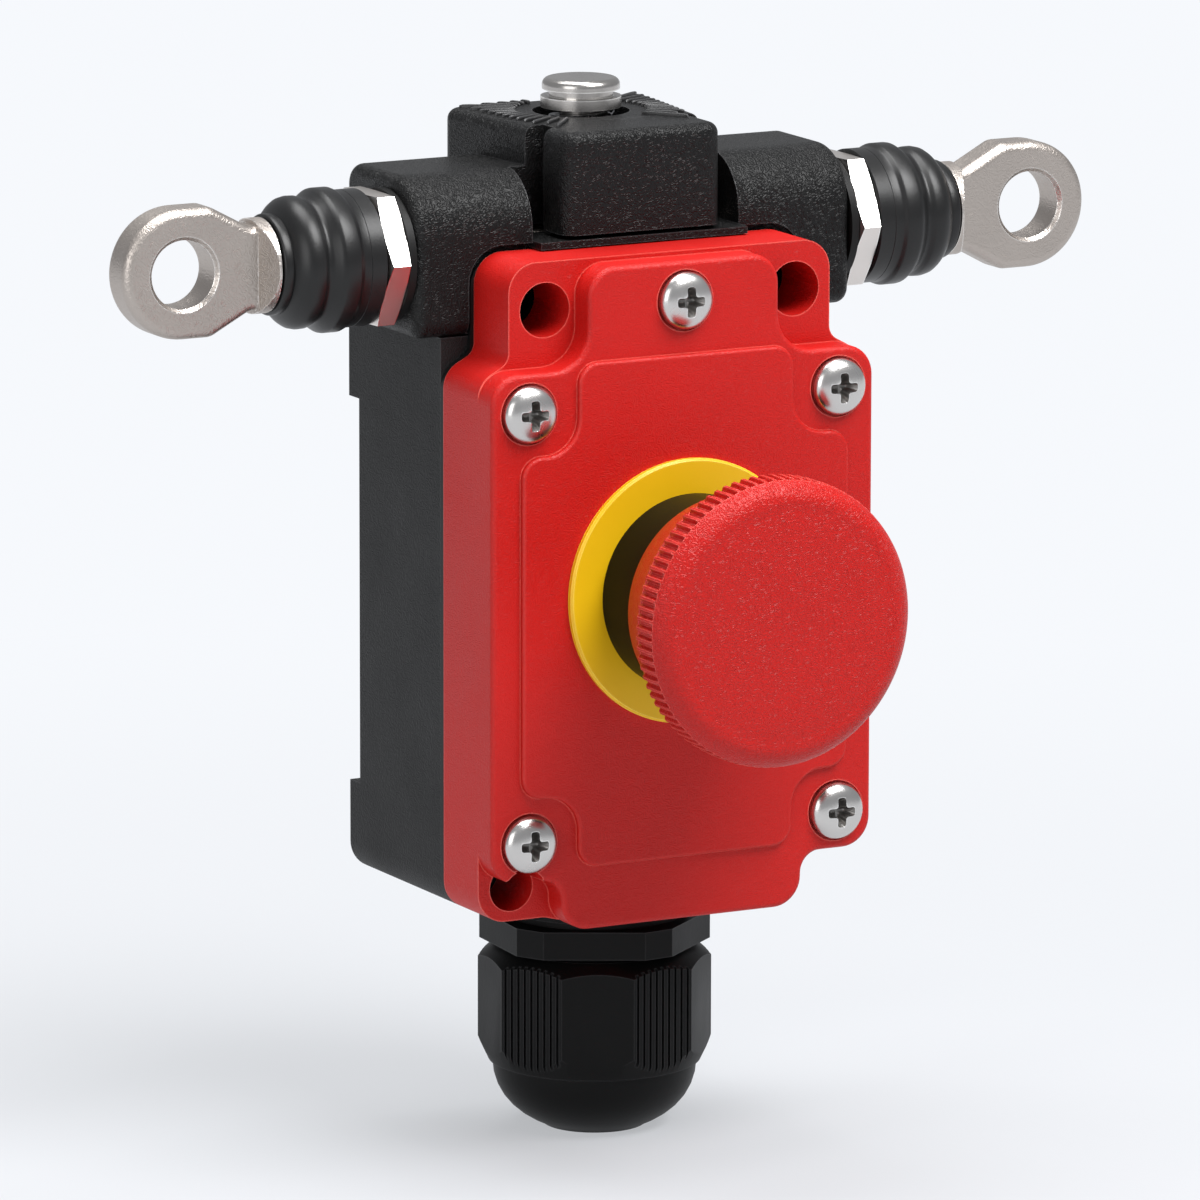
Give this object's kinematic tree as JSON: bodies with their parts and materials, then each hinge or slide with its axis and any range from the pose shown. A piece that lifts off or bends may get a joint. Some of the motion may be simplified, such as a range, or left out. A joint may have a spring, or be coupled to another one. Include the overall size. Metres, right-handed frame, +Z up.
{
  "type": "rope pull switch",
  "caption": "Double-ended emergency rope pull switch with spring-loaded eyes, rubber bellows, a reset button, a red mushroom stop button and a cable gland.",
  "frame": {"origin": "on the wall plane, midway between the two upper mounting holes", "axes": "+X to the viewer's right along the rope, +Y into the wall, +Z up; the front faces -Y"},
  "size_m": [0.1504, 0.0736, 0.1484],
  "materials": {
    "red_plastic": "satin moulded, fine spark grain",
    "black_plastic": "fine moulded grain",
    "black_cast_head": "coarse leather grain",
    "black_seal_rubber": "smooth",
    "bellows_rubber": "satin",
    "stainless_screws": "satin",
    "bright_steel": "bright turned",
    "cast_stainless": "cast, edges polished",
    "spring_steel": "drawn wire",
    "turned_stainless": "turned rings on the top face",
    "grey_plastic": "moulded",
    "contact_brass": "satin",
    "yellow_plastic": "glossy satin",
    "black_satin_plastic": "satin",
    "stem_plastic": "moulded"
  },
  "bodies": {
    "housing": {"front_cover": "red_plastic", "rear_housing": "black_plastic", "head_housing": "black_cast_head", "head_cap": "black_cast_head", "cover_gasket": "black_seal_rubber", "entry_seal": "black_seal_rubber", "gland_cable_seal": "black_seal_rubber", "left_washer": "black_seal_rubber", "right_washer": "black_seal_rubber", "left_bellows": "bellows_rubber", "right_bellows": "bellows_rubber", "cover_screws": "stainless_screws", "head_screws": "stainless_screws", "earth_screw": "stainless_screws", "left_hex_nut": "bright_steel", "right_hex_nut": "bright_steel", "left_bushing": "bright_steel", "right_bushing": "bright_steel", "left_rope_spring": "spring_steel", "right_rope_spring": "spring_steel", "left_contact_spring": "spring_steel", "right_contact_spring": "spring_steel", "reset_spring": "spring_steel", "estop_spring": "spring_steel", "estop_contact_spring": "spring_steel", "reset_guide": "grey_plastic", "rope_contact_block": "grey_plastic", "estop_contact_block": "grey_plastic", "rope_inner_strips": "contact_brass", "rope_outer_strips": "contact_brass", "rope_terminal_screws": "contact_brass", "estop_strips": "contact_brass", "estop_terminal_screws": "contact_brass", "earth_plate": "contact_brass", "estop_ring": "yellow_plastic", "estop_collar": "black_satin_plastic", "estop_nut": "black_satin_plastic", "gland_body": "black_satin_plastic", "gland_nut": "black_satin_plastic", "gland_cage": "black_satin_plastic"},
    "left_pull": {"left_eye": "cast_stainless", "left_spring_collar": "bright_steel"},
    "right_pull": {"right_eye": "cast_stainless", "right_spring_collar": "bright_steel"},
    "left_plunger": {"left_follower": "grey_plastic", "left_contact_bridge": "contact_brass"},
    "right_plunger": {"right_follower": "grey_plastic", "right_contact_bridge": "contact_brass"},
    "reset": {"reset_button": "turned_stainless", "reset_clip": "spring_steel"},
    "estop_push": {"estop_stem": "stem_plastic", "estop_contact_bridge": "contact_brass"},
    "estop_head": {"mushroom_head": "red_plastic"}
  },
  "joints": [
    {"name": "left_rope_pull", "type": "slide", "parent": "housing", "child": "left_pull", "axis": [-1, 0, 0], "range_m": [0, 0.005], "stiffness_N_per_m": 8000, "springref_m": -0.003, "deforming": ["left_bellows", "left_rope_spring"]},
    {"name": "left_plunger_slide", "type": "slide", "parent": "housing", "child": "left_plunger", "axis": [0, 0, -1], "range_m": [0, 0.00275], "stiffness_N_per_m": 300, "springref_m": -0.001, "deforming": ["left_contact_spring"]},
    {"name": "right_rope_pull", "type": "slide", "parent": "housing", "child": "right_pull", "axis": [1, 0, 0], "range_m": [0, 0.005], "stiffness_N_per_m": 8000, "springref_m": -0.003, "deforming": ["right_bellows", "right_rope_spring"]},
    {"name": "right_plunger_slide", "type": "slide", "parent": "housing", "child": "right_plunger", "axis": [0, 0, -1], "range_m": [0, 0.00275], "stiffness_N_per_m": 300, "springref_m": -0.001, "deforming": ["right_contact_spring"]},
    {"name": "reset_press", "type": "slide", "parent": "housing", "child": "reset", "axis": [0, 0, -1], "range_m": [0, 0.0028], "stiffness_N_per_m": 1500, "springref_m": -0.002, "deforming": ["reset_spring"]},
    {"name": "estop_press", "type": "slide", "parent": "housing", "child": "estop_push", "axis": [0, 1, 0], "range_m": [0, 0.005], "stiffness_N_per_m": 3000, "springref_m": -0.003, "deforming": ["estop_spring", "estop_contact_spring"]},
    {"name": "estop_turn", "type": "hinge", "parent": "estop_push", "child": "estop_head", "pos_m": [0, -0.066, -0.0398], "axis": [0, 1, 0], "range_deg": [0, 45], "stiffness_Nm_per_rad": 0.3}
  ],
  "couplings": [
    {"joint": "left_plunger_slide", "follows": "left_rope_pull", "ratio": 0.55},
    {"joint": "right_plunger_slide", "follows": "right_rope_pull", "ratio": 0.55}
  ]
}
